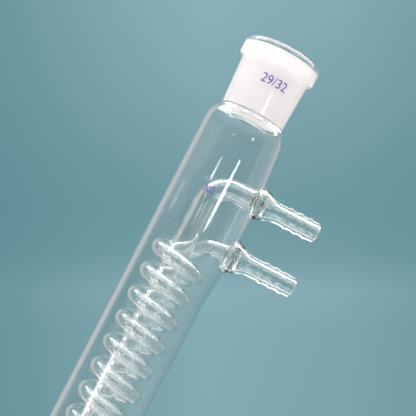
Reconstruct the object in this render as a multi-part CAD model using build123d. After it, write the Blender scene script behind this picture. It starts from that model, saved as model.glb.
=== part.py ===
from build123d import *
import math
import os

# One-piece glass coil condenser, millimetres, +Z up.
# The origin is the centre of the lower ground cone where it is widest.
# The hose barbs point along +X, and the coil goes down left-handed.

# Ground joints: widest diameter, ground length, taper on the diameter
joint_diameter = 29.2
joint_length = 32.0
joint_taper = 0.1

# Jacket, from where one shoulder starts to where the other one starts
jacket_length = 300.0
jacket_od = 38.0
jacket_wall = 1.8
shoulder_radius = 10.0

# Socket at the top, with its thick collar
socket_wall = 2.0
socket_throat = 1.0
rim_width = 0.9
collar_wall = 3.7
collar_height = 7.2
collar_round = 3.0
collar_undercut = 2.4

# Cone and drip tip at the bottom
cone_wall = 2.0
neck_length = 9.0
drip_length = 22.0
drip_od = 20.0
drip_wall = 1.6
drip_shoulder = 5.0
drip_slant = 40.0

# Hose barbs: drop from the jacket's top, length out from its wall
upper_barb_drop = 33.0
lower_barb_drop = 59.5
upper_barb_length = 31.0
lower_barb_length = 32.3
barb_neck_od = 9.3
barb_bore = 5.6
barb_round = 1.8

# Ridges round each barb
ridge_count = 3
ridge_spacing = 4.7
ridge_end_gap = 5.8
ridge_height = 0.6
ridge_land = 0.9
ridge_back = 0.5
ridge_ramp = 1.2

# Ring seals, where a barb, the wall and an inner tube are fused
flare_od = 14.8
flare_angle = 22.0
flare_blend = 12.0
seal_bead = 0.8
seal_length = 2.6
upper_seal_reach = 4.5

# The jacket's wall swells where the two barbs are drawn onto it
swell = 1.9
swell_half_length = 38.0
swell_run_out = 1.5

# Coil
coil_clearance = 3.5
coil_pitch = 11.65
coil_tube_od = 7.2
coil_tube_wall = 1.1
coil_top_drop = 69.7
coil_foot_gap = 3.0

# Straight tube up the middle of the coil, and the arch at its top
core_clearance = 1.5
riser_gap = 0.3
riser_wall = 1.5
arch_radius = 10.0

# Lead from the lower seal into the coil, and the return under the coil
lead_bend = 4.6
lead_angle = 70.0
lead_slope = 22.0
foot_bend = 5.0
reducer_length = 6.0

# Radii that follow
joint_radius = joint_diameter / 2
joint_narrow_radius = joint_radius - joint_taper * joint_length / 2
jacket_radius = jacket_od / 2
jacket_bore = jacket_radius - jacket_wall
socket_base_radius = joint_narrow_radius + socket_wall
drip_radius = drip_od / 2
neck_radius = barb_neck_od / 2
crest_radius = neck_radius + ridge_height
flare_radius = flare_od / 2
coil_tube_radius = coil_tube_od / 2
coil_bore_radius = coil_tube_radius - coil_tube_wall
coil_radius = jacket_bore - coil_clearance - coil_tube_radius
riser_radius = coil_radius - coil_tube_radius - core_clearance
riser_bore_radius = riser_radius - riser_wall
riser_x = riser_gap - core_clearance

# Heights that follow
jacket_bottom = neck_length
jacket_top = jacket_bottom + jacket_length
rim_z = jacket_top + socket_throat + joint_length
drip_z = -joint_length - drip_length
upper_barb_z = jacket_top - upper_barb_drop
lower_barb_z = jacket_top - lower_barb_drop
coil_top_z = jacket_top - coil_top_drop

swell_z = (upper_barb_z + lower_barb_z) / 2


def swell_drop(height):
    """How much less the swelled wall's own radius is at a height than at its middle."""
    return swell * ((height - swell_z) / swell_half_length) ** 2


def flare_seat(height):
    """Where a flare's widest ring lies inside the glass of the curved wall."""
    outside = jacket_radius - swell_drop(height)
    inside = outside - jacket_wall
    return swell + (inside + math.sqrt(outside**2 - flare_radius**2)) / 2


def shoulder_run(neck, cylinder, arc):
    """Axial length of an arc that starts at a neck and ends tangent to a cylinder."""
    return math.sqrt(arc**2 - (arc - cylinder + neck) ** 2)


# The jacket's straight wall, between the two shoulders
wall_low = jacket_bottom + shoulder_run(joint_radius, jacket_radius, shoulder_radius)
wall_high = jacket_top - shoulder_run(
    socket_base_radius, jacket_radius, shoulder_radius
)


def turned(bottom, top, edges):
    """A solid of revolution about Z, from edges that run from bottom to top at y = 0."""
    axis_bottom = Vector(0, 0, bottom.Z)
    axis_top = Vector(0, 0, top.Z)
    closing = [
        Line(top, axis_top),
        Line(axis_top, axis_bottom),
        Line(axis_bottom, bottom),
    ]
    return revolve(make_face(edges + closing), Axis.Z)


def vessel_outside():
    """The outside of the jacket and its joints, from the drip tip up to the rim."""
    collar_radius = joint_radius + collar_wall
    collar_bottom = rim_z - collar_height
    body_top = collar_bottom - collar_undercut
    body_radius = socket_base_radius + joint_taper / 2 * (body_top - jacket_top)

    tip = Vector(drip_radius, 0, drip_z)
    tip_top = Vector(drip_radius, 0, -joint_length - drip_shoulder)
    cone_low = Vector(joint_narrow_radius, 0, -joint_length)
    cone_high = Vector(joint_radius, 0, 0)
    neck_high = Vector(joint_radius, 0, jacket_bottom)
    wall_start = Vector(jacket_radius, 0, wall_low)
    wall_end = Vector(jacket_radius, 0, wall_high)
    socket_base = Vector(socket_base_radius, 0, jacket_top)
    body_end = Vector(body_radius, 0, body_top)
    collar_low = Vector(collar_radius, 0, collar_bottom)
    collar_high = Vector(collar_radius, 0, rim_z - collar_round)
    rim = Vector(joint_radius + rim_width, 0, rim_z)
    edges = [
        Line(tip, tip_top),
        TangentArc(tip_top, cone_low, tangent=(0, 0, 1)),
        Line(cone_low, cone_high),
        Line(cone_high, neck_high),
        TangentArc(wall_start, neck_high, tangent=(0, 0, -1)),
        Line(wall_start, wall_end),
        TangentArc(wall_end, socket_base, tangent=(0, 0, 1)),
        Line(socket_base, body_end),
        TangentArc(collar_low, body_end, tangent=(0, 0, -1)),
        Line(collar_low, collar_high),
        TangentArc(collar_high, rim, tangent=(0, 0, 1)),
    ]
    return turned(tip, rim, edges)


def vessel_inside():
    """The inside of the jacket: drip tip, neck, vapour space, throat and socket."""
    drip_bore = drip_radius - drip_wall
    cone_bore = joint_narrow_radius - cone_wall
    neck_bore = joint_radius - cone_wall
    inner_arc = shoulder_radius - jacket_wall
    throat_z = wall_high + shoulder_run(joint_narrow_radius, jacket_bore, inner_arc)

    tip = Vector(drip_bore, 0, drip_z)
    tip_top = Vector(drip_bore, 0, -joint_length - drip_shoulder)
    cone_low = Vector(cone_bore, 0, -joint_length)
    cone_high = Vector(neck_bore, 0, 0)
    neck_z = wall_low - shoulder_run(neck_bore, jacket_bore, inner_arc)
    neck_high = Vector(neck_bore, 0, neck_z)
    wall_start = Vector(jacket_bore, 0, wall_low)
    wall_end = Vector(jacket_bore, 0, wall_high)
    throat = Vector(joint_narrow_radius, 0, throat_z)
    ground_low = Vector(joint_narrow_radius, 0, rim_z - joint_length)
    ground_high = Vector(joint_radius, 0, rim_z)
    edges = [
        Line(tip, tip_top),
        TangentArc(tip_top, cone_low, tangent=(0, 0, 1)),
        Line(cone_low, cone_high),
        Line(cone_high, neck_high),
        TangentArc(wall_start, neck_high, tangent=(0, 0, -1)),
        Line(wall_start, wall_end),
        TangentArc(wall_end, throat, tangent=(0, 0, 1)),
        Line(throat, ground_low),
        Line(ground_low, ground_high),
    ]
    return turned(tip, ground_high, edges)


def drip_waste():
    """The glass below the slanted end of the drip tip."""
    size = 4 * drip_od
    block = Box(size, size, size, align=(Align.CENTER, Align.CENTER, Align.MAX))
    return Pos(drip_radius, 0, drip_z) * Rot(0, drip_slant, 0) * block


def swelled(radius):
    """A barrel whose axis lies beside Z, so that it stands out of the wall towards +X."""
    reach = swell_half_length + swell_run_out
    bottom = Vector(radius - swell_drop(swell_z - reach), 0, swell_z - reach)
    top = Vector(radius - swell_drop(swell_z + reach), 0, swell_z + reach)
    bulge = ThreePointArc(bottom, Vector(radius, 0, swell_z), top)
    return Pos(swell, 0, 0) * turned(bottom, top, [bulge])


def flare_cone(wide, narrow, low):
    """Edges of a flare's cone from this height, and the point where its tube starts."""
    slope = math.radians(flare_angle)
    corner = low + (wide - narrow) / math.tan(slope)
    trim = flare_blend * math.tan(slope / 2)
    wide_end = Vector(wide, 0, low)
    cone_x = narrow + trim * math.sin(slope)
    cone_end = Vector(cone_x, 0, corner - trim * math.cos(slope))
    tube_start = Vector(narrow, 0, corner + trim)
    blend = TangentArc(tube_start, cone_end, tangent=(0, 0, -1))
    return [Line(wide_end, cone_end), blend], tube_start


def barb_outside(height, length, tube_radius, reach):
    """A barb and its seal along +Z: inner flare, bead, outer flare, ridges, round tip."""
    tip_z = jacket_radius + length
    seat_z = flare_seat(height)
    bead_end_z = seat_z + seal_length
    start = Vector(tube_radius, 0, seat_z - reach)
    seat = Vector(flare_radius, 0, seat_z)
    bead = Vector(flare_radius + seal_bead, 0, seat_z + seal_length / 2)
    bead_end = Vector(flare_radius, 0, bead_end_z)
    cone, here = flare_cone(flare_radius, neck_radius, bead_end_z)
    edges = [
        TangentArc(start, seat, tangent=(0, 0, 1)),
        ThreePointArc(seat, bead, bead_end),
    ]
    edges += cone
    for index in reversed(range(ridge_count)):
        middle = tip_z - ridge_end_gap - index * ridge_spacing
        land_low = Vector(crest_radius, 0, middle - ridge_land / 2)
        land_high = Vector(crest_radius, 0, middle + ridge_land / 2)
        foot_low = Vector(neck_radius, 0, land_low.Z - ridge_back)
        foot_high = Vector(neck_radius, 0, land_high.Z + ridge_ramp)
        edges.append(Line(here, foot_low))
        edges.append(Line(foot_low, land_low))
        edges.append(Line(land_low, land_high))
        edges.append(Line(land_high, foot_high))
        here = foot_high
    round_start = Vector(neck_radius, 0, tip_z - barb_round)
    tip = Vector(neck_radius - barb_round, 0, tip_z)
    edges.append(Line(here, round_start))
    edges.append(TangentArc(round_start, tip, tangent=(0, 0, 1)))
    return turned(start, tip, edges)


def barb_inside(height, length, bore_radius, reach):
    """The bore of a barb and its seal along +Z, widest where the three walls meet."""
    seat_z = flare_seat(height)
    wide = flare_radius - jacket_wall
    start = Vector(bore_radius, 0, seat_z - reach)
    seat = Vector(wide, 0, seat_z)
    bead_end = Vector(wide, 0, seat_z + seal_length)
    tip = Vector(barb_bore / 2, 0, jacket_radius + length)
    cone, tube_start = flare_cone(wide, barb_bore / 2, bead_end.Z)
    edges = [
        TangentArc(start, seat, tangent=(0, 0, 1)),
        Line(seat, bead_end),
        Line(tube_start, tip),
    ]
    return turned(start, tip, edges + cone)


def sideways(height):
    """Turns what is drawn along +Z to point along +X at this height."""
    return Pos(0, 0, height) * Rot(0, 90, 0)


def tube(path, outer_radius, bore_radius, frenet=False):
    """A tube of round section along a path."""
    plane = Plane(origin=path @ 0, z_dir=path % 0)
    ring = plane * (Circle(outer_radius) - Circle(bore_radius))
    return sweep(ring, path=path, is_frenet=frenet)


def two_arcs(start, start_way, end, end_way):
    """Two arcs, tangent to each other, that join two points with given directions."""
    span = end - start
    sum_way = start_way + end_way
    square = 2 * (1 - start_way.dot(end_way))
    linear = span.dot(sum_way)
    reach = (math.sqrt(linear**2 + square * span.dot(span)) - linear) / square
    first_corner = start + start_way * reach
    second_corner = end - end_way * reach
    middle = (first_corner + second_corner) * 0.5
    onward = (second_corner - first_corner).normalized()
    return [
        TangentArc(start, middle, tangent=start_way),
        TangentArc(middle, end, tangent=onward),
    ]


def on_coil(angle, height):
    """A point on the coil's centre line, its angle counted from the barbs' side."""
    turn = math.radians(angle)
    return Vector(coil_radius * math.cos(turn), coil_radius * math.sin(turn), height)


def down_coil(angle, slope):
    """The way a tube heads at this angle of the coil, falling at this slope."""
    turn = math.radians(angle)
    level = math.cos(slope)
    return Vector(-math.sin(turn) * level, math.cos(turn) * level, -math.sin(slope))


# The coil is fitted in whole turns between its top and the return under it
coil_slope = math.atan(coil_pitch / (2 * math.pi * coil_radius))
foot_drop = foot_bend * math.cos(coil_slope)
foot_y = foot_bend * (math.sin(coil_slope) - 1)
return_radius = math.hypot(coil_radius + riser_x, foot_y) / 2
lowest_end = wall_low + coil_foot_gap + coil_tube_radius + return_radius + foot_drop
coil_turns = int((coil_top_z - lowest_end) / coil_pitch)
coil_height = coil_turns * coil_pitch
coil_end_z = coil_top_z - coil_height
return_z = coil_end_z - foot_drop

# The lead bends off the lower seal's axis until it meets the coil's circle
lead_x = math.sqrt(coil_radius**2 + 2 * coil_radius * lead_bend)
lower_seal_reach = flare_seat(lower_barb_z) - lead_x


def lead_tube():
    """From the lower seal, round behind the riser and down to the coil's first turn."""
    slope = math.radians(lead_slope)
    rest = math.radians(180 - lead_angle)
    middle_z = coil_top_z + coil_radius * rest * math.tan((slope + coil_slope) / 2)
    start = Vector(lead_x, 0, lower_barb_z)
    middle = on_coil(lead_angle, middle_z)
    end = on_coil(180, coil_top_z)
    middle_way = down_coil(lead_angle, slope)
    end_way = down_coil(180, coil_slope)
    edges = two_arcs(start, Vector(-1, 0, 0), middle, middle_way)
    edges += two_arcs(middle, middle_way, end, end_way)
    return tube(Wire(edges), coil_tube_radius, coil_bore_radius)


def coil_tube():
    """All whole turns of the coil, from its top down."""
    upright = Helix(coil_pitch, coil_height, coil_radius, lefthand=True)
    helix = Pos(0, 0, coil_end_z) * Rot(0, 0, 180) * upright
    return tube(helix, coil_tube_radius, coil_bore_radius, frenet=True)


def return_tube():
    """The bend that drops out of the last turn and comes up under the riser."""
    start = on_coil(180, coil_end_z)
    corner = Vector(-coil_radius, foot_y, return_z)
    end = Vector(riser_x, 0, return_z)
    bottom = (corner + end) * 0.5 - Vector(0, 0, return_radius)
    path = Wire(
        [
            TangentArc(start, corner, tangent=down_coil(180, coil_slope)),
            ThreePointArc(corner, bottom, end),
        ]
    )
    return tube(path, coil_tube_radius, coil_bore_radius)


def reducer():
    """The short cone where the narrow return tube widens into the riser."""
    outside = Cone(coil_tube_radius, riser_radius, reducer_length)
    inside = Cone(coil_bore_radius, riser_bore_radius, reducer_length)
    return Pos(riser_x, 0, return_z + reducer_length / 2) * (outside - inside)


def riser_tube():
    """Up the middle of the coil, over in an arch and across to the upper seal."""
    bottom = Vector(riser_x, 0, return_z + reducer_length)
    arch_start = Vector(riser_x, 0, upper_barb_z - arch_radius)
    arch_end = Vector(riser_x + arch_radius, 0, upper_barb_z)
    seal = Vector(flare_seat(upper_barb_z) - upper_seal_reach, 0, upper_barb_z)
    path = Wire(
        [
            Line(bottom, arch_start),
            TangentArc(arch_start, arch_end, tangent=(0, 0, 1)),
            Line(arch_end, seal),
        ]
    )
    return tube(path, riser_radius, riser_bore_radius)


def condenser():
    """The whole condenser, fused into one piece of glass."""
    glass = vessel_outside() + swelled(jacket_radius)
    glass -= vessel_inside() + swelled(jacket_bore)
    glass -= drip_waste()
    barbs = [
        (upper_barb_z, upper_barb_length, riser_radius, riser_bore_radius, upper_seal_reach),
        (lower_barb_z, lower_barb_length, coil_tube_radius, coil_bore_radius, lower_seal_reach),
    ]
    for height, length, tube_radius, bore_radius, reach in barbs:
        glass += sideways(height) * barb_outside(height, length, tube_radius, reach)
        glass -= sideways(height) * barb_inside(height, length, bore_radius, reach)
    glass += lead_tube()
    glass += coil_tube()
    glass += return_tube()
    glass += reducer()
    glass += riser_tube()
    return glass


os.makedirs("parts", exist_ok=True)
export_step(condenser(), "parts/condenser.step")
print("coil turns", coil_turns)
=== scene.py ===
import math
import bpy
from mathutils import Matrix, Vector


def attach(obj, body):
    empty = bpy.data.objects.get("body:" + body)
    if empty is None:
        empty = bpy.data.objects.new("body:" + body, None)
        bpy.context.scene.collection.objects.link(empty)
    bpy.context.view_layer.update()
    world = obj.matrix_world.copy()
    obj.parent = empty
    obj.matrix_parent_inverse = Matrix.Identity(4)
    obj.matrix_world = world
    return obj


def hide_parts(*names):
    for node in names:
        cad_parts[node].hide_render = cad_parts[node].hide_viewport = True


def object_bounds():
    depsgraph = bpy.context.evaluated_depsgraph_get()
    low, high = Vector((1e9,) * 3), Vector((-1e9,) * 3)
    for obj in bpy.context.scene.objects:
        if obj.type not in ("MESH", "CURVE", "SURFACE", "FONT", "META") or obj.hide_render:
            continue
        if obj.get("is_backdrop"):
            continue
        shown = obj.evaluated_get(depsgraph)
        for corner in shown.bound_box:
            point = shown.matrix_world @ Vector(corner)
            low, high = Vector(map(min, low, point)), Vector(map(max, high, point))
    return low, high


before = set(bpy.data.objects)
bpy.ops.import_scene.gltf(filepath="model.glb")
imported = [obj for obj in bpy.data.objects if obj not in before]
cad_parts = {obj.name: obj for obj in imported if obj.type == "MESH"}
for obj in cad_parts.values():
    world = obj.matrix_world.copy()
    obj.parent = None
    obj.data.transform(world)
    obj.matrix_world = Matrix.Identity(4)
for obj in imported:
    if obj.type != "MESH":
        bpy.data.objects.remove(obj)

from types import SimpleNamespace

import bmesh
import bpy
from mathutils import Matrix, Vector

bl_info = {
    "name": "Coil Condenser",
    "version": (1, 0, 0),
    "blender": (4, 5, 0),
    "location": "3D View > Sidebar > Condenser",
    "description": "Builds a one-piece glass coil condenser and the studio round it",
    "category": "Add Mesh",
}

GLASS = "condenser_glass"

# Joints and jacket, in metres
JOINT_TAPER = 0.1
SOCKET_THROAT = 0.001
RIM_WIDTH = 0.0009
CLEAR_RIM = 0.0026
COLLAR_ROUND = 0.003
COLLAR_UNDERCUT = 0.0024
SHOULDER_RADIUS = 0.010
DRIP_SHOULDER = 0.005
DRIP_WALL = 0.0016
SWELL = 0.0019
SWELL_HALF = 0.038
SWELL_RUN_OUT = 0.0015

# Barbs and ring seals
FLARE_RADIUS = 0.0074
FLARE_ANGLE = math.radians(22)
FLARE_BLEND = 0.012
SEAL_LENGTH = 0.0026
SEAL_BEAD = 0.0008
UPPER_SEAL_REACH = 0.0045
BARB_ROUND = 0.0018
RIDGE_COUNT = 3
RIDGE_SPACING = 0.0047
RIDGE_END_GAP = 0.0058
RIDGE_HEIGHT = 0.0006
RIDGE_LAND = 0.0009
RIDGE_BACK = 0.0005
RIDGE_RAMP = 0.0012

# Coil, riser and the bends between them
COIL_CLEARANCE = 0.0035
COIL_TOP_DROP = 0.0697
COIL_FOOT_GAP = 0.003
CORE_CLEARANCE = 0.0015
RISER_OFFSET = -0.0012
ARCH_RADIUS = 0.010
LEAD_BEND = 0.0046
LEAD_ANGLE = math.radians(70)
LEAD_SLOPE = math.radians(22)
FOOT_BEND = 0.005
REDUCER_LENGTH = 0.006

# Melted edges and the printed layer
EDGE_MELT = 0.0004
RIDGE_MELT = 0.00035
PRINT_BOTTOM = 0.000005
PRINT_TOP = 0.000015
PRINT_SLICE = 0.0004

# The picture is 416 pixels wide, and its lens is 1100 pixels long
PICTURE_WIDTH = 416
LENS_PIXELS = 1100
CAMERA_TILT = math.radians(4.9)
CAMERA_ROLL = math.radians(27.2)
CAMERA_AIM = (0.0013, 0, 0.264)
CAMERA_DISTANCE = 0.489

# Directions of the room along which the light on the backdrop changes
BACKDROP_SIDEWAYS = (0.889, -0.039, 0.455)
BACKDROP_UPWARD = (-0.457, -0.076, 0.886)

# How finely the round forms are divided
VESSEL_SEGMENTS = 160
TUBE_SEGMENTS = 28
BORE_SEGMENTS = 22
TURN_STEPS = 48


def size(name, default, description):
    """A length in metres that the sidebar shows."""
    return bpy.props.FloatProperty(
        name=name,
        description=description,
        default=default,
        min=0.0,
        precision=5,
        unit="LENGTH",
        subtype="DISTANCE",
    )


def colour(name, default, description):
    """A colour that the sidebar shows."""
    return bpy.props.FloatVectorProperty(
        name=name,
        description=description,
        default=default,
        size=3,
        min=0.0,
        max=1.0,
        subtype="COLOR",
    )


def share(name, default, description):
    """A number from 0 to 1 that the sidebar shows as a slider."""
    return bpy.props.FloatProperty(
        name=name,
        description=description,
        default=default,
        min=0.0,
        max=1.0,
        subtype="FACTOR",
    )


class CondenserVessel(bpy.types.PropertyGroup):
    joint_diameter: size("Joint diameter", 0.0292, "Widest diameter of both ground joints")
    joint_length: size("Joint length", 0.032, "Ground length of both joints")
    jacket_length: size("Jacket length", 0.300, "Length between the two shoulders")
    jacket_diameter: size("Jacket diameter", 0.038, "Outside diameter of the jacket")
    jacket_wall: size("Jacket wall", 0.0018, "Thickness of the jacket's wall")
    neck_length: size("Neck length", 0.009, "Clear neck above the lower joint")
    joint_wall: size("Joint wall", 0.002, "Thickness of the glass of both joints")
    collar_wall: size("Collar wall", 0.0037, "How far the rolled collar stands out")
    collar_height: size("Collar height", 0.0072, "Height of the rolled collar")
    drip_length: size("Drip tip length", 0.022, "Length of the tip below the joint")
    drip_diameter: size("Drip tip diameter", 0.020, "Outside diameter of the drip tip")
    drip_slant: bpy.props.FloatProperty(
        name="Drip tip slant",
        description="Angle of the cut across the drip tip",
        default=math.radians(40),
        subtype="ANGLE",
    )


class CondenserTubes(bpy.types.PropertyGroup):
    upper_barb_drop: size("Upper barb drop", 0.033, "Distance of the upper barb below the shoulder")
    lower_barb_drop: size("Lower barb drop", 0.0595, "Distance of the lower barb below the shoulder")
    upper_barb_length: size("Upper barb length", 0.031, "How far the upper barb stands out")
    lower_barb_length: size("Lower barb length", 0.0323, "How far the lower barb stands out")
    barb_diameter: size("Barb diameter", 0.0093, "Diameter of a barb between its ridges")
    barb_bore: size("Barb bore", 0.0056, "Bore of a barb")
    coil_pitch: size("Coil pitch", 0.01165, "Rise of the coil in one turn")
    coil_diameter: size("Coil tube diameter", 0.0072, "Outside diameter of the coiled tube")
    coil_wall: size("Coil tube wall", 0.0011, "Thickness of the coiled tube's wall")
    riser_wall: size("Riser wall", 0.0015, "Thickness of the straight tube's wall")


class CondenserFinishes(bpy.types.PropertyGroup):
    glass: colour("Clear glass", (0.996, 1.0, 0.998), "Tint of the clear glass")
    seal: colour("Fused seal", (0.997, 0.985, 0.94), "Warm tint where tubes are fused")
    ground: colour("Ground glass", (0.955, 0.91, 0.91), "Colour of the ground joints")
    ground_roughness: share("Ground roughness", 0.62, "Roughness of the ground joints")
    ground_clearness: share("Ground clearness", 0.07, "Light that a ground joint lets through")
    print: colour("Print", (0.085, 0.055, 0.36), "Colour of the printed figures")


class CondenserStudio(bpy.types.PropertyGroup):
    backdrop_light: colour("Backdrop, bright", (0.265, 0.44, 0.49), "Backdrop at its brightest")
    backdrop_dark: colour("Backdrop, dark", (0.10, 0.25, 0.285), "Backdrop at its sides")
    room: colour("Room", (0.36, 0.41, 0.42), "Pale room beside and above the backdrop")
    floor: colour("Floor", (0.80, 0.81, 0.80), "Colour of the pale floor")
    fill: share("Fill light", 1.0, "Even light that falls on matt surfaces")


def arc(start, way, end, steps):
    """Points on the arc that leaves start along way and goes to end."""
    chord = end - start
    side = (chord - way * chord.dot(way)).normalized()
    radius = chord.length_squared / (2 * chord.dot(side))
    sweep = 2 * math.atan2(chord.dot(side), chord.dot(way))
    points = []
    for step in range(steps + 1):
        turn = sweep * step / steps
        points.append(
            start + way * (radius * math.sin(turn)) + side * (radius * (1 - math.cos(turn)))
        )
    return points


def melted(points, reach):
    """The same line with its sharp corners rounded off, as a flame leaves them."""
    line = [points[0]]
    for before, corner, after in zip(points, points[1:], points[2:]):
        first = (before - corner).normalized()
        second = (after - corner).normalized()
        if first.dot(second) < -0.98:
            line.append(corner)
            continue
        cut = min(reach, (before - corner).length * 0.45, (after - corner).length * 0.45)
        start = corner + first * cut
        end = corner + second * cut
        for step in range(4):
            part = step / 3
            line.append(
                start * (1 - part) ** 2 + corner * (2 * part * (1 - part)) + end * part**2
            )
    line.append(points[-1])
    return line


def straight(start, end):
    """Points to the end of a straight run, with one close to each end."""
    near = min(0.0006 / (end - start).length, 0.3)
    return [start.lerp(end, part) for part in (near, 0.5, 1 - near, 1)]


def plan():
    """Every size that follows from the ones in the sidebar, in metres."""
    vessel = bpy.context.scene.condenser_vessel
    tubes = bpy.context.scene.condenser_tubes
    p = SimpleNamespace()
    p.joint = vessel.joint_diameter / 2
    p.joint_length = vessel.joint_length
    p.narrow = p.joint - JOINT_TAPER * vessel.joint_length / 2
    p.jacket = vessel.jacket_diameter / 2
    p.wall = vessel.jacket_wall
    p.bore = p.jacket - p.wall
    p.joint_wall = vessel.joint_wall
    p.socket_base = p.narrow + vessel.joint_wall
    p.collar_wall = vessel.collar_wall
    p.collar_height = vessel.collar_height
    p.drip = vessel.drip_diameter / 2
    p.drip_slope = math.tan(vessel.drip_slant)
    p.drip_z = -vessel.joint_length - vessel.drip_length
    p.bottom = vessel.neck_length
    p.top = p.bottom + vessel.jacket_length
    p.rim_z = p.top + SOCKET_THROAT + vessel.joint_length
    p.upper_z = p.top - tubes.upper_barb_drop
    p.lower_z = p.top - tubes.lower_barb_drop
    p.upper_tip = p.jacket + tubes.upper_barb_length
    p.lower_tip = p.jacket + tubes.lower_barb_length
    p.barb = tubes.barb_diameter / 2
    p.barb_bore = tubes.barb_bore / 2
    p.flare = FLARE_RADIUS
    p.pitch = tubes.coil_pitch
    p.tube = tubes.coil_diameter / 2
    p.tube_bore = p.tube - tubes.coil_wall
    p.coil = p.bore - COIL_CLEARANCE - p.tube
    p.riser = p.coil - p.tube - CORE_CLEARANCE
    p.riser_bore = p.riser - tubes.riser_wall
    p.riser_x = RISER_OFFSET
    p.swell = SWELL
    p.swell_half = SWELL_HALF
    p.swell_z = (p.upper_z + p.lower_z) / 2
    p.slope = math.atan(p.pitch / (2 * math.pi * p.coil))
    foot_drop = FOOT_BEND * math.cos(p.slope)
    p.foot_y = FOOT_BEND * (math.sin(p.slope) - 1)
    return_radius = math.hypot(p.coil + p.riser_x, p.foot_y) / 2
    p.wall_low = p.bottom + shoulder_run(p.joint, p.jacket, SHOULDER_RADIUS)
    p.wall_high = p.top - shoulder_run(p.socket_base, p.jacket, SHOULDER_RADIUS)
    p.coil_top = p.top - COIL_TOP_DROP
    lowest = p.wall_low + COIL_FOOT_GAP + p.tube + return_radius + foot_drop
    p.turns = int((p.coil_top - lowest) / p.pitch)
    p.coil_end = p.coil_top - p.turns * p.pitch
    p.return_z = p.coil_end - foot_drop
    p.lead_x = math.sqrt(p.coil**2 + 2 * p.coil * LEAD_BEND)
    p.upper_seat = flare_seat(p, p.upper_z)
    p.lower_seat = flare_seat(p, p.lower_z)
    p.upper_seal = p.upper_seat - UPPER_SEAL_REACH
    return p


def shoulder_run(neck, cylinder, radius):
    """Height of a shoulder's arc from a neck to where it meets the cylinder."""
    return math.sqrt(radius**2 - (radius - cylinder + neck) ** 2)


def swell_drop(p, height):
    """How much less the swelled wall's own radius is at a height than at its middle."""
    return p.swell * ((height - p.swell_z) / p.swell_half) ** 2


def flare_seat(p, height):
    """Where a flare's widest ring lies inside the glass of the curved wall."""
    outside = p.jacket - swell_drop(p, height)
    inside = outside - p.wall
    return p.swell + (inside + math.sqrt(outside**2 - p.flare**2)) / 2


def swelled(p, radius, height, turn):
    """The wall's radius at a height and an angle, with the swelling by the barbs."""
    facing = max(0.0, math.cos(turn))
    rise = max(0.0, p.swell - swell_drop(p, height))
    return radius + rise * facing**3


def wall_heights(p):
    """Heights of the rings on the straight wall, close together where it swells."""
    low = p.swell_z - p.swell_half - SWELL_RUN_OUT
    heights = [p.wall_low + (low - p.wall_low) * step / 12 for step in range(12)]
    count = 52
    heights += [low + (p.wall_high - low) * step / count for step in range(count + 1)]
    return heights


def vessel_profile(p):
    """The wall of jacket and joints as one closed line, outside up and inside down."""
    up = Vector((0, 1))
    collar = p.joint + p.collar_wall
    collar_low = p.rim_z - p.collar_height
    body_top = collar_low - COLLAR_UNDERCUT
    body = p.socket_base + JOINT_TAPER / 2 * (body_top - p.top)
    drip_top = -p.joint_length - DRIP_SHOULDER
    heights = wall_heights(p)

    outside = [Vector((p.drip, p.drip_z)), Vector((p.drip, drip_top))]
    outside += arc(outside[-1], up, Vector((p.narrow, -p.joint_length)), 8)[1:]
    outside += straight(outside[-1], Vector((p.joint, 0)))
    outside += straight(outside[-1], Vector((p.joint, p.bottom)))
    low_shoulder = arc(Vector((p.jacket, p.wall_low)), -up, Vector((p.joint, p.bottom)), 16)
    outside += low_shoulder[::-1][1:-1]
    outside += [Vector((p.jacket, height)) for height in heights]
    outside += arc(outside[-1], up, Vector((p.socket_base, p.top)), 20)[1:]
    outside += straight(outside[-1], Vector((body, body_top)))
    undercut = arc(Vector((collar, collar_low)), -up, Vector((body, body_top)), 8)
    outside += undercut[::-1][1:]
    outside += straight(outside[-1], Vector((collar, p.rim_z - COLLAR_ROUND)))
    outside += arc(outside[-1], up, Vector((p.joint + RIM_WIDTH, p.rim_z)), 8)[1:]

    inner_radius = SHOULDER_RADIUS - p.wall
    neck = p.joint - p.joint_wall
    throat_z = p.wall_high + shoulder_run(p.narrow, p.bore, inner_radius)
    neck_z = p.wall_low - shoulder_run(neck, p.bore, inner_radius)
    drip = p.drip - DRIP_WALL
    inside = [Vector((drip, p.drip_z)), Vector((drip, drip_top))]
    inside += arc(inside[-1], up, Vector((p.narrow - p.joint_wall, -p.joint_length)), 8)[1:]
    inside += straight(inside[-1], Vector((neck, 0)))
    inside += straight(inside[-1], Vector((neck, neck_z)))
    low_shoulder = arc(Vector((p.bore, p.wall_low)), -up, inside[-1], 16)
    inside += low_shoulder[::-1][1:-1]
    inside += [Vector((p.bore, height)) for height in heights]
    inside += arc(inside[-1], up, Vector((p.narrow, throat_z)), 20)[1:]
    inside.append(Vector((p.narrow, p.rim_z - p.joint_length)))
    rim = Vector((p.joint - CLEAR_RIM * JOINT_TAPER / 2, p.rim_z - CLEAR_RIM))
    inside += straight(inside[-1], rim)
    inside.append(Vector((p.joint, p.rim_z)))
    return melted(outside, EDGE_MELT) + inside[::-1]


def vessel_mesh(p, segments):
    """Jacket, shoulders, socket, cone and drip tip, turned about the long axis."""
    profile = vessel_profile(p)
    verts = []
    for radius, height in profile:
        for index in range(segments):
            turn = 2 * math.pi * index / segments
            reach = radius
            z = height
            if p.wall_low < height < p.wall_high:
                reach = swelled(p, radius, height, turn)
            if height == p.drip_z:
                z += (p.drip - radius * math.cos(turn)) * p.drip_slope
            verts.append((reach * math.cos(turn), reach * math.sin(turn), z))
    faces = []
    rings = len(profile)
    for ring in range(rings):
        here = ring * segments
        there = (ring + 1) % rings * segments
        for index in range(segments):
            after = (index + 1) % segments
            faces.append((here + index, here + after, there + after, there + index))
    mesh = bpy.data.meshes.new("vessel")
    mesh.from_pydata(verts, [], faces)
    return mesh


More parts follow.
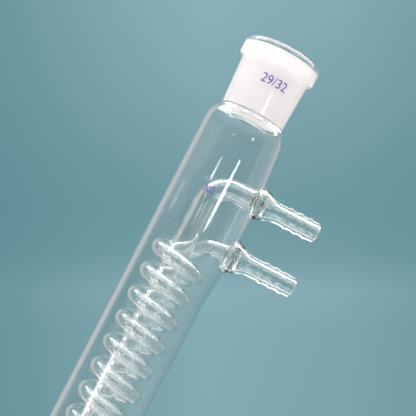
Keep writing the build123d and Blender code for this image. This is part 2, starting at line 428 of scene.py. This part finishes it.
def flare_cone(wide, narrow, low):
    """The cone of a flare from where it is widest, blended into its tube."""
    corner = low + (wide - narrow) / math.tan(FLARE_ANGLE)
    trim = FLARE_BLEND * math.tan(FLARE_ANGLE / 2)
    cone_end = Vector(
        (narrow + trim * math.sin(FLARE_ANGLE), corner - trim * math.cos(FLARE_ANGLE))
    )
    blend = arc(Vector((narrow, corner + trim)), Vector((0, -1)), cone_end, 8)
    return [Vector((wide, low))] + blend[::-1]


def barb_outside(p, seat, tip, tube, start):
    """Outside of a barb and its seal: radius and distance out, from inner tube to tip."""
    out = Vector((0, 1))
    line = arc(Vector((tube, start)), out, Vector((p.flare, seat)), 12)
    half = SEAL_LENGTH / 2
    radius = (half**2 + SEAL_BEAD**2) / (2 * SEAL_BEAD)
    centre = Vector((p.flare + SEAL_BEAD - radius, seat + half))
    spread = math.asin(half / radius)
    for step in range(1, 8):
        turn = spread * (step / 4 - 1)
        line.append(centre + Vector((math.cos(turn), math.sin(turn))) * radius)
    line += flare_cone(p.flare, p.barb, seat + SEAL_LENGTH)
    ridges = []
    for index in reversed(range(RIDGE_COUNT)):
        middle = tip - RIDGE_END_GAP - index * RIDGE_SPACING
        low = middle - RIDGE_LAND / 2
        high = middle + RIDGE_LAND / 2
        ridges.append(Vector((p.barb, low - RIDGE_BACK)))
        ridges.append(Vector((p.barb + RIDGE_HEIGHT, low)))
        ridges.append(Vector((p.barb + RIDGE_HEIGHT, high)))
        ridges.append(Vector((p.barb, high + RIDGE_RAMP)))
    round_start = Vector((p.barb, tip - BARB_ROUND))
    end = arc(round_start, out, Vector((p.barb - BARB_ROUND, tip)), 8)
    return line + melted([line[-1]] + ridges + [end[0]], RIDGE_MELT)[1:-1] + end


def barb_inside(p, seat, tip, bore, start):
    """Bore of a barb and its seal: radius and distance out, from inner tube to tip."""
    wide = p.flare - p.wall
    line = arc(Vector((bore, start)), Vector((0, 1)), Vector((wide, seat)), 12)
    line += flare_cone(wide, p.barb_bore, seat + SEAL_LENGTH)
    line.append(Vector((p.barb_bore, tip + 0.001)))
    return line


def on_coil(p, angle, height):
    """A point on the coil's centre line, its angle counted from the barbs' side."""
    return Vector((p.coil * math.cos(angle), p.coil * math.sin(angle), height))


def down_coil(angle, slope):
    """The way a tube heads at this angle of the coil, falling at this slope."""
    level = math.cos(slope)
    return Vector((-math.sin(angle) * level, math.cos(angle) * level, -math.sin(slope)))


def two_arcs(start, start_way, end, end_way, steps):
    """Points on two tangent arcs that join two points with given directions."""
    span = end - start
    square = 2 * (1 - start_way.dot(end_way))
    linear = span.dot(start_way + end_way)
    reach = (math.sqrt(linear**2 + square * span.length_squared) - linear) / square
    first = start + start_way * reach
    second = end - end_way * reach
    middle = (first + second) / 2
    onward = (second - first).normalized()
    return arc(start, start_way, middle, steps)[:-1] + arc(middle, onward, end, steps)


def inner_path(p):
    """The tube's middle from upper to lower seal, each point with its share of riser."""
    down = Vector((0, 0, -1))
    arch_end = Vector((p.riser_x + ARCH_RADIUS, 0, p.upper_z))
    arch_start = Vector((p.riser_x, 0, p.upper_z - ARCH_RADIUS))
    wide = arc(arch_end, Vector((-1, 0, 0)), arch_start, 18)
    riser_end = Vector((p.riser_x, 0, p.return_z + REDUCER_LENGTH))
    for step in range(1, 9):
        wide.append(arch_start + (riser_end - arch_start) * step / 8)
    path = [(point, 1.0) for point in wide]
    for step in range(1, 7):
        path.append((riser_end + down * REDUCER_LENGTH * step / 6, 1 - step / 6))
    foot = Vector((p.riser_x, 0, p.return_z))
    corner = Vector((-p.coil, p.foot_y, p.return_z))
    narrow = arc(corner, down, foot, 16)[::-1][1:]
    coil_end = on_coil(p, math.pi, p.coil_end)
    narrow += arc(coil_end, down_coil(math.pi, p.slope), corner, 8)[::-1][1:]
    steps = p.turns * TURN_STEPS
    for step in range(steps - 1, -1, -1):
        part = step / steps
        angle = math.pi + 2 * math.pi * p.turns * part
        narrow.append(on_coil(p, angle, p.coil_top - p.turns * p.pitch * part))
    mean_slope = math.tan((LEAD_SLOPE + p.slope) / 2)
    middle_z = p.coil_top + p.coil * (math.pi - LEAD_ANGLE) * mean_slope
    middle = on_coil(p, LEAD_ANGLE, middle_z)
    middle_way = down_coil(LEAD_ANGLE, LEAD_SLOPE)
    start = Vector((p.lead_x, 0, p.lower_z))
    top = on_coil(p, math.pi, p.coil_top)
    lead = two_arcs(start, Vector((-1, 0, 0)), middle, middle_way, 9)[:-1]
    lead += two_arcs(middle, middle_way, top, down_coil(math.pi, p.slope), 9)
    narrow += lead[::-1][1:]
    path += [(point, 0.0) for point in narrow]
    return path


def whole_path(p, inside):
    """Points and radii of the whole water way, from the upper tip to the lower one."""
    if inside:
        upper = barb_inside(p, p.upper_seat, p.upper_tip, p.riser_bore, p.upper_seal)
        lower = barb_inside(p, p.lower_seat, p.lower_tip, p.tube_bore, p.lead_x)
        wide, narrow = p.riser_bore, p.tube_bore
    else:
        upper = barb_outside(p, p.upper_seat, p.upper_tip, p.riser, p.upper_seal)
        lower = barb_outside(p, p.lower_seat, p.lower_tip, p.tube, p.lead_x)
        wide, narrow = p.riser, p.tube
    stations = [(Vector((x, 0, p.upper_z)), radius) for radius, x in reversed(upper)]
    for point, riser in inner_path(p):
        stations.append((point, narrow + (wide - narrow) * riser))
    stations += [(Vector((x, 0, p.lower_z)), radius) for radius, x in lower[1:]]
    return stations


def swept_mesh(stations, segments):
    """A closed round bar of changing radius along the stations."""
    points = [point for point, radius in stations]
    ways = []
    for index in range(len(points)):
        before = points[max(index - 1, 0)]
        after = points[min(index + 1, len(points) - 1)]
        ways.append((after - before).normalized())
    side = Vector((0, 1, 0))
    verts = []
    for (point, radius), way in zip(stations, ways):
        side = (side - way * side.dot(way)).normalized()
        other = way.cross(side)
        for index in range(segments):
            turn = 2 * math.pi * index / segments
            verts.append(point + (side * math.cos(turn) + other * math.sin(turn)) * radius)
    faces = [tuple(range(segments))[::-1]]
    last = (len(points) - 1) * segments
    faces.append(tuple(range(last, last + segments)))
    for ring in range(len(points) - 1):
        here = ring * segments
        for index in range(segments):
            after = (index + 1) % segments
            low = here + index
            faces.append((low, here + after, here + segments + after, low + segments))
    mesh = bpy.data.meshes.new("bar")
    mesh.from_pydata([tuple(vert) for vert in verts], [], faces)
    return mesh


def linked(name, mesh):
    """An object for this mesh, linked to the scene."""
    made = bpy.data.objects.new(name, mesh)
    bpy.context.collection.objects.link(made)
    return made


def combined(first, second, operation):
    """Joins the second solid to the first, or cuts it away, and removes it."""
    change = first.modifiers.new("solid", "BOOLEAN")
    change.operation = operation
    change.solver = "MANIFOLD"
    change.object = second
    graph = bpy.context.evaluated_depsgraph_get()
    mesh = bpy.data.meshes.new_from_object(first.evaluated_get(graph))
    first.modifiers.clear()
    spent = [first.data, second.data]
    first.data = mesh
    bpy.data.objects.remove(second)
    for old in spent:
        bpy.data.meshes.remove(old)
    if not mesh.polygons:
        raise RuntimeError("the glass could not be joined")


def start_material(name):
    """An empty material with its shader, node tree and links."""
    material = bpy.data.materials.new(name)
    material.use_nodes = True
    nodes = material.node_tree.nodes
    return material, nodes["Principled BSDF"], nodes, material.node_tree.links


def drawn_bump(nodes, links, shader, stretch, scale, distance):
    """Faint waves that run along the glass as it was drawn."""
    place = nodes.new("ShaderNodeTexCoord")
    mapping = nodes.new("ShaderNodeMapping")
    mapping.inputs["Scale"].default_value = (1, 1, stretch)
    noise = nodes.new("ShaderNodeTexNoise")
    noise.inputs["Scale"].default_value = scale
    noise.inputs["Detail"].default_value = 1.0
    bump = nodes.new("ShaderNodeBump")
    bump.inputs["Strength"].default_value = 1.0
    bump.inputs["Distance"].default_value = distance
    links.new(place.outputs["Object"], mapping.inputs["Vector"])
    links.new(mapping.outputs["Vector"], noise.inputs["Vector"])
    links.new(noise.outputs["Fac"], bump.inputs["Height"])
    links.new(bump.outputs["Normal"], shader.inputs["Normal"])


def clear_glass():
    """Drawn borosilicate glass, clear, with the faint waves of hand work."""
    finishes = bpy.context.scene.condenser_finishes
    material, shader, nodes, links = start_material("clear_borosilicate")
    shader.inputs["Base Color"].default_value = (*finishes.glass, 1)
    shader.inputs["Roughness"].default_value = 0.0
    shader.inputs["IOR"].default_value = 1.474
    shader.inputs["Transmission Weight"].default_value = 1.0
    drawn_bump(nodes, links, shader, 0.15, 90, 0.000008)
    return material


def seal_glass():
    """The same glass where it was melted together, thicker looking and warmer."""
    finishes = bpy.context.scene.condenser_finishes
    material, shader, nodes, links = start_material("fused_seal")
    shader.inputs["Base Color"].default_value = (*finishes.seal, 1)
    shader.inputs["Roughness"].default_value = 0.0
    shader.inputs["IOR"].default_value = 1.474
    shader.inputs["Transmission Weight"].default_value = 1.0
    drawn_bump(nodes, links, shader, 1.0, 160, 0.00002)
    return material


def ground_glass():
    """Ground glass of the joints: white, fine grained and a little see-through."""
    finishes = bpy.context.scene.condenser_finishes
    material, shader, nodes, links = start_material("ground_joint")
    shader.inputs["Base Color"].default_value = (*finishes.ground, 1)
    shader.inputs["IOR"].default_value = 1.474
    shader.inputs["Transmission Weight"].default_value = finishes.ground_clearness
    place = nodes.new("ShaderNodeTexCoord")
    grain = nodes.new("ShaderNodeTexNoise")
    grain.inputs["Scale"].default_value = 2600
    grain.inputs["Detail"].default_value = 3.0
    spread = nodes.new("ShaderNodeMapRange")
    spread.inputs["To Min"].default_value = finishes.ground_roughness - 0.08
    spread.inputs["To Max"].default_value = finishes.ground_roughness + 0.08
    bump = nodes.new("ShaderNodeBump")
    bump.inputs["Strength"].default_value = 0.5
    bump.inputs["Distance"].default_value = 0.00003
    links.new(place.outputs["Object"], grain.inputs["Vector"])
    links.new(grain.outputs["Fac"], spread.inputs["Value"])
    links.new(spread.outputs["Result"], shader.inputs["Roughness"])
    links.new(grain.outputs["Fac"], bump.inputs["Height"])
    links.new(bump.outputs["Normal"], shader.inputs["Normal"])
    return material


def enamel():
    """Fired enamel of the printed figures, a little uneven in its cover."""
    finishes = bpy.context.scene.condenser_finishes
    material, shader, nodes, links = start_material("fired_enamel")
    shader.inputs["Roughness"].default_value = 0.45
    place = nodes.new("ShaderNodeTexCoord")
    patches = nodes.new("ShaderNodeTexNoise")
    patches.inputs["Scale"].default_value = 1400
    ramp = nodes.new("ShaderNodeValToRGB")
    ramp.color_ramp.elements[0].position = 0.3
    ramp.color_ramp.elements[0].color = (*finishes.print, 1)
    ramp.color_ramp.elements[1].position = 0.8
    ramp.color_ramp.elements[1].color = (*[value * 1.5 for value in finishes.print], 1)
    links.new(place.outputs["Object"], patches.inputs["Vector"])
    links.new(patches.outputs["Fac"], ramp.inputs["Fac"])
    links.new(ramp.outputs["Color"], shader.inputs["Base Color"])
    return material


def glass_zone(p, centre):
    """Which finish a face has by its place: 0 clear, 1 ground, 2 fused seal."""
    radius = math.hypot(centre.x, centre.y)
    z = centre.z
    up = z - (p.rim_z - p.joint_length)
    near = 0.0001
    inner = p.narrow + JOINT_TAPER / 2 * up
    if 0 < up < p.joint_length - CLEAR_RIM and radius < inner + near:
        return 1
    if -p.joint_length < z < 0 and radius > p.joint + JOINT_TAPER / 2 * z - near:
        return 1
    for height, start, seat in (
        (p.upper_z, p.upper_seal, p.upper_seat),
        (p.lower_z, p.lead_x, p.lower_seat),
    ):
        away = math.hypot(centre.y, z - height)
        if start < centre.x < seat + SEAL_LENGTH and away < p.flare + SEAL_BEAD + near:
            return 2
    return 0


def wrapped_figures(name, text, height, narrowing, centre, surface):
    """Printed figures as a thin enamel layer laid round the glass, facing front."""
    letters = bpy.data.curves.new(name, "FONT")
    letters.body = text
    letters.size = height
    letters.align_x = "CENTER"
    letters.align_y = "CENTER"
    letters.resolution_u = 6
    flat = linked(name + "_flat", letters)
    graph = bpy.context.evaluated_depsgraph_get()
    mesh = bpy.data.meshes.new_from_object(flat.evaluated_get(graph))
    bpy.data.objects.remove(flat)
    bpy.data.curves.remove(letters)
    grid = bmesh.new()
    grid.from_mesh(mesh)
    half = max(abs(vert.co.x) for vert in grid.verts)
    middle = (max(v.co.y for v in grid.verts) + min(v.co.y for v in grid.verts)) / 2
    count = int(2 * half / PRINT_SLICE)
    for step in range(1, count):
        bmesh.ops.bisect_plane(
            grid,
            geom=grid.verts[:] + grid.edges[:] + grid.faces[:],
            plane_co=(half * (2 * step / count - 1), 0, 0),
            plane_no=(1, 0, 0),
        )
    bmesh.ops.triangulate(grid, faces=grid.faces[:])
    lifted = bmesh.ops.extrude_face_region(grid, geom=grid.faces[:])["geom"]
    top = {item for item in lifted if isinstance(item, bmesh.types.BMVert)}
    for vert in grid.verts:
        z = centre[1] + vert.co.y - middle
        radius = surface(z) + (PRINT_TOP if vert in top else PRINT_BOTTOM)
        turn = (vert.co.x * narrowing + centre[0]) / surface(centre[1])
        vert.co = (radius * math.sin(turn), -radius * math.cos(turn), z)
    bmesh.ops.recalc_face_normals(grid, faces=grid.faces[:])
    grid.to_mesh(mesh)
    grid.free()
    made = linked(name, mesh)
    mesh.materials.append(enamel())
    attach(made, "root")
    return made


class CONDENSER_OT_glass(bpy.types.Operator):
    """Build the condenser's one piece of glass"""

    bl_idname = "condenser.glass"
    bl_label = "Glass"

    def execute(self, context):
        p = plan()
        glass = linked(GLASS, vessel_mesh(p, VESSEL_SEGMENTS))
        bar = linked("water_way_outside", swept_mesh(whole_path(p, False), TUBE_SEGMENTS))
        combined(glass, bar, "UNION")
        bore = linked("water_way_inside", swept_mesh(whole_path(p, True), BORE_SEGMENTS))
        combined(glass, bore, "DIFFERENCE")
        mesh = glass.data
        mesh.materials.clear()
        for material in (clear_glass(), ground_glass(), seal_glass()):
            mesh.materials.append(material)
        for face in mesh.polygons:
            face.material_index = glass_zone(p, face.center)
        mesh.shade_smooth()
        mesh.set_sharp_from_angle(angle=math.radians(34))
        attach(glass, "root")
        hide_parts("condenser")
        return {"FINISHED"}


class CONDENSER_OT_figures(bpy.types.Operator):
    """Print the joint size on the socket and the length on the jacket"""

    bl_idname = "condenser.figures"
    bl_label = "Printed figures"

    def execute(self, context):
        p = plan()

        def socket(z):
            return p.socket_base + JOINT_TAPER / 2 * (z - p.top)

        def jacket(z):
            return p.jacket

        wrapped_figures("socket_figures", "29/32", 0.0060, 0.93, (0.0021, 0.3249), socket)
        wrapped_figures("length_figures", "300", 0.0046, 0.74, (-0.0021, 0.2700), jacket)
        return {"FINISHED"}


def softbox(name, place, target, width, height, radiance):
    """A flat lamp that faces the target, as bright as its radiance says."""
    lamp = bpy.data.lights.new(name, "AREA")
    lamp.shape = "RECTANGLE"
    lamp.size = width
    lamp.size_y = height
    lamp.energy = radiance * math.pi * width * height
    made = linked(name, lamp)
    made.location = place
    made.rotation_euler = (Vector(target) - Vector(place)).to_track_quat("-Z", "Y").to_euler()
    return made


def shades(nodes, stops):
    """A colour ramp through these places and colours."""
    ramp = nodes.new("ShaderNodeValToRGB")
    steps = ramp.color_ramp.elements
    for _ in range(len(stops) - 2):
        steps.new(0.5)
    for step, (place, tone) in zip(steps, stops):
        step.position = place
        step.color = tone
    return ramp


def mapped(nodes, links, value, low, high):
    """A node that stretches a range of values to run from 0 to 1."""
    spread = nodes.new("ShaderNodeMapRange")
    spread.inputs["From Min"].default_value = low
    spread.inputs["From Max"].default_value = high
    links.new(value, spread.inputs["Value"])
    return spread


def mixed(nodes, links, share_of_second, first, second):
    """The colour between two colours."""
    mix = nodes.new("ShaderNodeMix")
    mix.data_type = "RGBA"
    links.new(share_of_second, mix.inputs[0])
    links.new(first, mix.inputs[6])
    links.new(second, mix.inputs[7])
    return mix.outputs[2]


def lit_along(nodes, links, place, axis, steps):
    """How brightly the backdrop is lit along a direction of the room."""
    along = nodes.new("ShaderNodeVectorMath")
    along.operation = "DOT_PRODUCT"
    along.inputs[1].default_value = axis
    spread = mapped(nodes, links, along.outputs["Value"], -0.25, 0.25)
    ramp = shades(nodes, [(at, (value, value, value, 1)) for at, value in steps])
    links.new(place.outputs["Generated"], along.inputs[0])
    links.new(spread.outputs["Result"], ramp.inputs["Fac"])
    return ramp.outputs["Color"]


def backdrop_cloth(studio, nodes, links, place):
    """The teal cloth, brighter in its middle, at its top and along a fold."""
    sides = ((0.14, 0.35), (0.34, 0.75), (0.50, 1.0), (0.74, 0.82), (0.86, 0.60))
    folds = (
        (0.14, 0.78),
        (0.28, 0.82),
        (0.35, 0.95),
        (0.42, 0.52),
        (0.50, 0.42),
        (0.57, 0.50),
        (0.72, 0.78),
        (0.86, 0.97),
    )
    across = lit_along(nodes, links, place, BACKDROP_SIDEWAYS, sides)
    upward = lit_along(nodes, links, place, BACKDROP_UPWARD, folds)
    lit = nodes.new("ShaderNodeMath")
    lit.operation = "MULTIPLY"
    links.new(across, lit.inputs[0])
    links.new(upward, lit.inputs[1])
    cloth = nodes.new("ShaderNodeMix")
    cloth.data_type = "RGBA"
    cloth.inputs[6].default_value = (*studio.backdrop_dark, 1)
    cloth.inputs[7].default_value = (*studio.backdrop_light, 1)
    links.new(lit.outputs["Value"], cloth.inputs[0])
    return cloth.outputs[2]


def room_walls(nodes, links, turn, cloth):
    """The room by compass angle from the front, low down and higher up.

    A fourth value of 0 means the cloth hides the wall there.
    """
    left = (
        (-165, (0.50, 0.54, 0.56, 0)),
        (-157, (0.52, 0.55, 0.57, 1)),
        (-97, (0.48, 0.50, 0.50, 1)),
        (-75, (0.46, 0.43, 0.41, 1)),
        (-50, (0.38, 0.33, 0.30, 1)),
        (-36, (0.30, 0.22, 0.18, 1)),
        (60, (0.28, 0.21, 0.17, 1)),
    )
    low_right = (
        (70, (0.34, 0.33, 0.30, 1)),
        (95, (0.28, 0.36, 0.37, 1)),
        (120, (0.24, 0.38, 0.40, 1)),
        (150, (0.22, 0.38, 0.41, 0)),
    )
    high_right = (
        (68, (0.85, 0.72, 0.69, 1)),
        (112, (0.75, 0.69, 0.67, 1)),
        (143, (0.46, 0.48, 0.49, 1)),
        (152, (0.42, 0.47, 0.49, 0)),
    )
    low = shades(nodes, [((at + 180) / 360, tone) for at, tone in left + low_right])
    high = shades(nodes, [((at + 180) / 360, tone) for at, tone in left + high_right])
    for ring in (low, high):
        links.new(turn.outputs["Result"], ring.inputs["Fac"])
    return [
        mixed(nodes, links, ring.outputs["Alpha"], cloth, ring.outputs["Color"])
        for ring in (low, high)
    ]


class CONDENSER_OT_stage(bpy.types.Operator):
    """Set up the floor, the backdrop, the lamps and the camera"""

    bl_idname = "condenser.stage"
    bl_label = "Stage"

    def execute(self, context):
        studio = context.scene.condenser_studio
        self.floor(studio)
        self.backdrop(studio)
        self.lamps()
        self.camera()
        settings = context.scene
        settings.view_settings.view_transform = "Standard"
        settings.cycles.max_bounces = 40
        settings.cycles.diffuse_bounces = 10
        settings.cycles.transmission_bounces = 40
        settings.cycles.glossy_bounces = 16
        return {"FINISHED"}

    def floor(self, studio):
        """A round pale floor just under the drip tip."""
        material, shader, nodes, links = start_material("pale_floor")
        shader.inputs["Base Color"].default_value = (*studio.floor, 1)
        shader.inputs["Roughness"].default_value = 0.8
        disc = bmesh.new()
        bmesh.ops.create_circle(disc, cap_ends=True, segments=96, radius=0.35)
        mesh = bpy.data.meshes.new("floor")
        disc.to_mesh(mesh)
        disc.free()
        made = linked("floor", mesh)
        made.location.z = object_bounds()[0][2] - 0.0005
        mesh.materials.append(material)
        made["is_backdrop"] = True

    def backdrop(self, studio):
        """The teal cloth, the room round it, and an even fill for matt surfaces."""
        world = bpy.data.worlds.new("studio")
        bpy.context.scene.world = world
        world.use_nodes = True
        nodes = world.node_tree.nodes
        links = world.node_tree.links
        nodes.clear()
        place = nodes.new("ShaderNodeTexCoord")
        cloth = backdrop_cloth(studio, nodes, links, place)
        apart = nodes.new("ShaderNodeSeparateXYZ")
        ahead = nodes.new("ShaderNodeMath")
        ahead.operation = "MULTIPLY"
        ahead.inputs[1].default_value = -1.0
        around = nodes.new("ShaderNodeMath")
        around.operation = "ARCTAN2"
        links.new(place.outputs["Generated"], apart.inputs["Vector"])
        links.new(apart.outputs["Y"], ahead.inputs[0])
        links.new(apart.outputs["X"], around.inputs[0])
        links.new(ahead.outputs["Value"], around.inputs[1])
        turn = mapped(nodes, links, around.outputs["Value"], -math.pi, math.pi)
        low_room, high_room = room_walls(nodes, links, turn, cloth)
        upper = mapped(nodes, links, apart.outputs["Z"], 0.02, 0.09)
        walls = mixed(nodes, links, upper.outputs["Result"], low_room, high_room)
        top = mapped(nodes, links, apart.outputs["Z"], 0.40, 0.52)
        ceiling = nodes.new("ShaderNodeRGB")
        ceiling.outputs[0].default_value = (*studio.room, 1)
        whole = mixed(nodes, links, top.outputs["Result"], walls, ceiling.outputs[0])
        path = nodes.new("ShaderNodeLightPath")
        seen = nodes.new("ShaderNodeBackground")
        even = nodes.new("ShaderNodeBackground")
        even.inputs["Color"].default_value = (1, 1, 1, 1)
        even.inputs["Strength"].default_value = studio.fill
        after_matt = nodes.new("ShaderNodeMath")
        after_matt.operation = "MINIMUM"
        after_matt.inputs[1].default_value = 1.0
        mix = nodes.new("ShaderNodeMixShader")
        out = nodes.new("ShaderNodeOutputWorld")
        links.new(whole, seen.inputs["Color"])
        links.new(path.outputs["Diffuse Depth"], after_matt.inputs[0])
        links.new(after_matt.outputs["Value"], mix.inputs["Fac"])
        links.new(seen.outputs["Background"], mix.inputs[1])
        links.new(even.outputs["Background"], mix.inputs[2])
        links.new(mix.outputs["Shader"], out.inputs["Surface"])

    def lamps(self):
        """Softboxes, a window and ceiling strips, placed for their marks in the glass."""
        target = (0, 0, 0.26)
        front = softbox("front_softbox", (0.42, -0.90, 0.37), target, 0.12, 0.11, 11)
        front.data.shape = "ELLIPSE"
        softbox("left_softbox", (-1.0, 0.03, 0.343), target, 0.08, 0.042, 3)
        softbox("low_left_softbox", (-0.60, -0.80, -0.03), (0, 0, 0.2), 0.16, 0.30, 7)
        # The window and the strips only show in the glass, so the floor stays unclipped
        window = softbox("window_softbox", (-0.85, 0.15, 1.05), target, 1.0, 0.45, 4)
        window.visible_diffuse = False
        strips = ((-0.75, 0.95), (-0.35, 1.2), (0.1, 1.25), (0.5, 1.1))
        for number, (y, z) in enumerate(strips):
            name = f"ceiling_strip_{number}"
            strip = softbox(name, (-0.1, y, z), (-0.1, 0, 0.26), 2.2, 0.12, 8)
            strip.visible_diffuse = False

    def camera(self):
        """The camera at the photo's angle: low, close and rolled to the left."""
        ahead = Vector((0, math.cos(CAMERA_TILT), math.sin(CAMERA_TILT)))
        right = Vector((1, 0, 0))
        up = right.cross(ahead)
        across = right * math.cos(CAMERA_ROLL) + up * math.sin(CAMERA_ROLL)
        upright = up * math.cos(CAMERA_ROLL) - right * math.sin(CAMERA_ROLL)
        lens = bpy.data.cameras.new("camera")
        lens.sensor_width = 36
        lens.lens = 36 * LENS_PIXELS / PICTURE_WIDTH
        lens.clip_start = 0.01
        made = linked("camera", lens)
        turn = Matrix((across, upright, -ahead)).transposed().to_4x4()
        place = Vector(CAMERA_AIM) - ahead * CAMERA_DISTANCE
        made.matrix_world = Matrix.Translation(place) @ turn
        bpy.context.scene.camera = made


class CONDENSER_PT_sidebar(bpy.types.Panel):
    bl_idname = "CONDENSER_PT_sidebar"
    bl_label = "Coil Condenser"
    bl_space_type = "VIEW_3D"
    bl_region_type = "UI"
    bl_category = "Condenser"

    def draw(self, context):
        for name in GROUPS:
            box = self.layout.box()
            group = getattr(context.scene, name)
            for prop in group.bl_rna.properties:
                if prop.identifier not in ("rna_type", "name"):
                    box.prop(group, prop.identifier)
        for operator in OPERATORS:
            self.layout.operator(operator.bl_idname)


GROUPS = {
    "condenser_vessel": CondenserVessel,
    "condenser_tubes": CondenserTubes,
    "condenser_finishes": CondenserFinishes,
    "condenser_studio": CondenserStudio,
}
OPERATORS = (CONDENSER_OT_glass, CONDENSER_OT_figures, CONDENSER_OT_stage)


def register():
    for name, group in GROUPS.items():
        bpy.utils.register_class(group)
        setattr(bpy.types.Scene, name, bpy.props.PointerProperty(type=group))
    for operator in OPERATORS:
        bpy.utils.register_class(operator)
    bpy.utils.register_class(CONDENSER_PT_sidebar)


def unregister():
    bpy.utils.unregister_class(CONDENSER_PT_sidebar)
    for operator in reversed(OPERATORS):
        bpy.utils.unregister_class(operator)
    for name, group in reversed(GROUPS.items()):
        delattr(bpy.types.Scene, name)
        bpy.utils.unregister_class(group)


def main():
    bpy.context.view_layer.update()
    register()
    bpy.ops.condenser.glass()
    bpy.ops.condenser.figures()
    bpy.ops.condenser.stage()


if __name__ == "__main__":
    main()
